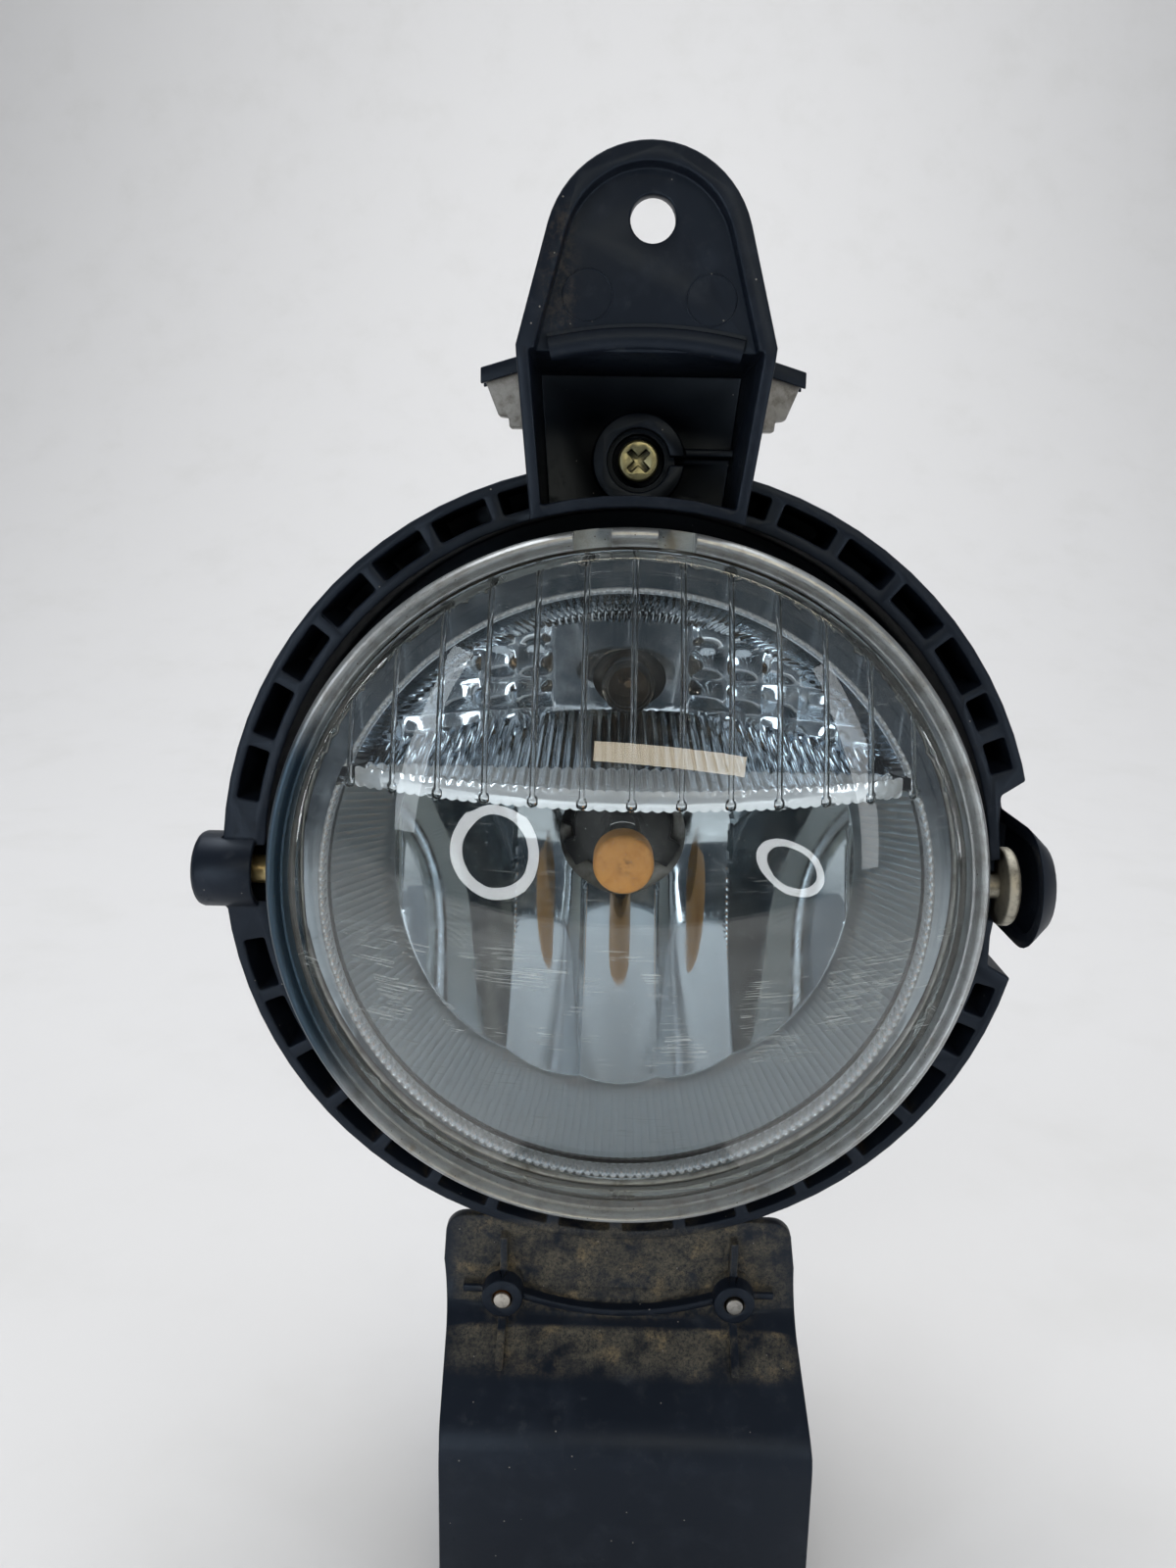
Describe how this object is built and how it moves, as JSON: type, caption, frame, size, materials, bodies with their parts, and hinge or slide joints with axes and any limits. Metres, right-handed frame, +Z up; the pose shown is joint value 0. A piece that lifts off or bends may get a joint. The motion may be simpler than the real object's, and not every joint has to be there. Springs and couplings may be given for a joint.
{
  "type": "fog light",
  "caption": "Round front fog light with a parking chamber in one clear domed lens, hung on side pivots in a black moulded frame with a bolt tab, a curved lower plate and an aiming screw.",
  "frame": {"origin": "on the flat rear seat of the upper bolt tab, straight above the centre of the lens and 8.2 mm below the centre of the bolt hole", "axes": "the lamp looks along -Y; +X is to the right of a person facing the lamp; +Z is up"},
  "size_m": [0.1547, 0.111, 0.2555],
  "materials": {
    "black_plastic": "moulded black plastic, satin, dusty with brown dirt in the corners",
    "connector_black": "moulded black plastic, satin",
    "rusty_zinc": "dull zinc with a rusty edge",
    "yellow_zinc": "yellow zinc plating, slightly worn",
    "spring_steel": "plain spring steel",
    "dirty_steel": "zinc-plated steel dulled by dirt",
    "nylon": "natural nylon, satin",
    "cast_grey": "as-cast aluminium, dull and slightly grainy",
    "bezel_grey": "frosted silver-grey rim with brownish wear",
    "lens_clear": "clear moulded lens with upright flutes, dust and fine scratches",
    "bulb_glass": "clear bulb glass",
    "rubber": "soft black rubber",
    "chrome": "vacuum-metallised mirror finish",
    "brass": "dull brass",
    "orange_coating": "matte orange-tan heat-proof coating",
    "filament_wire": "bare tungsten and molybdenum wire",
    "tinned_copper": "tin-plated copper blades"
  },
  "bodies": {
    "carrier": {"carrier_frame": "black_plastic", "plate_insert_left": "rusty_zinc", "plate_insert_right": "rusty_zinc"},
    "lamp_unit": {"lamp_housing": "cast_grey", "bezel_ring": "bezel_grey", "lens": "lens_clear", "lens_seal": "rubber", "main_reflector": "chrome", "parking_reflector": "chrome", "divider_bar": "chrome", "vent_cap": "rubber", "left_pivot_pin": "brass", "right_pivot_pin": "dirty_steel", "adjuster_bridge": "cast_grey", "bridge_cap": "black_plastic", "bridge_screw_left": "dirty_steel", "bridge_screw_right": "dirty_steel"},
    "screw": {"adjuster_screw": "yellow_zinc", "screw_lock_ring": "spring_steel"},
    "nut": {"adjuster_nut": "nylon"},
    "fog_bulb": {"fog_bulb_tip": "orange_coating", "fog_bulb_glass": "bulb_glass", "fog_bulb_filament": "filament_wire", "fog_bulb_base": "connector_black", "fog_bulb_seal": "rubber", "fog_contact_left": "tinned_copper", "fog_contact_right": "tinned_copper"},
    "parking_bulb": {"parking_bulb_glass": "bulb_glass", "parking_bulb_filament": "filament_wire", "parking_bulb_holder": "connector_black", "parking_bulb_seal": "rubber", "parking_contact_left": "tinned_copper", "parking_contact_right": "tinned_copper"}
  },
  "joints": [
    {"name": "lamp_tilt", "type": "hinge", "parent": "carrier", "child": "lamp_unit", "pos_m": [0, 0.0085, -0.1015], "axis": [1, 0, 0], "range_deg": [-3, 3]},
    {"name": "nut_travel", "type": "slide", "parent": "carrier", "child": "nut", "axis": [0, 1, 0], "range_m": [-0.0041, 0.0041]},
    {"name": "screw_turn", "type": "hinge", "parent": "carrier", "child": "screw", "pos_m": [0.0008, 0.0265, -0.0267], "axis": [0, 1, 0], "range_deg": [-720, 720]},
    {"name": "fog_bulb_turn", "type": "hinge", "parent": "lamp_unit", "child": "fog_bulb", "pos_m": [0, 0.0565, -0.1035], "axis": [0, 1, 0], "range_deg": [0, 45]},
    {"name": "parking_holder_turn", "type": "hinge", "parent": "lamp_unit", "child": "parking_bulb", "pos_m": [0, 0.0565, -0.068], "axis": [0, 1, 0], "range_deg": [0, 45]}
  ],
  "couplings": [
    {"joint": "nut_travel", "follows": "lamp_tilt", "m_per_rad": -0.0748},
    {"joint": "screw_turn", "follows": "lamp_tilt", "ratio": 234.99}
  ]
}
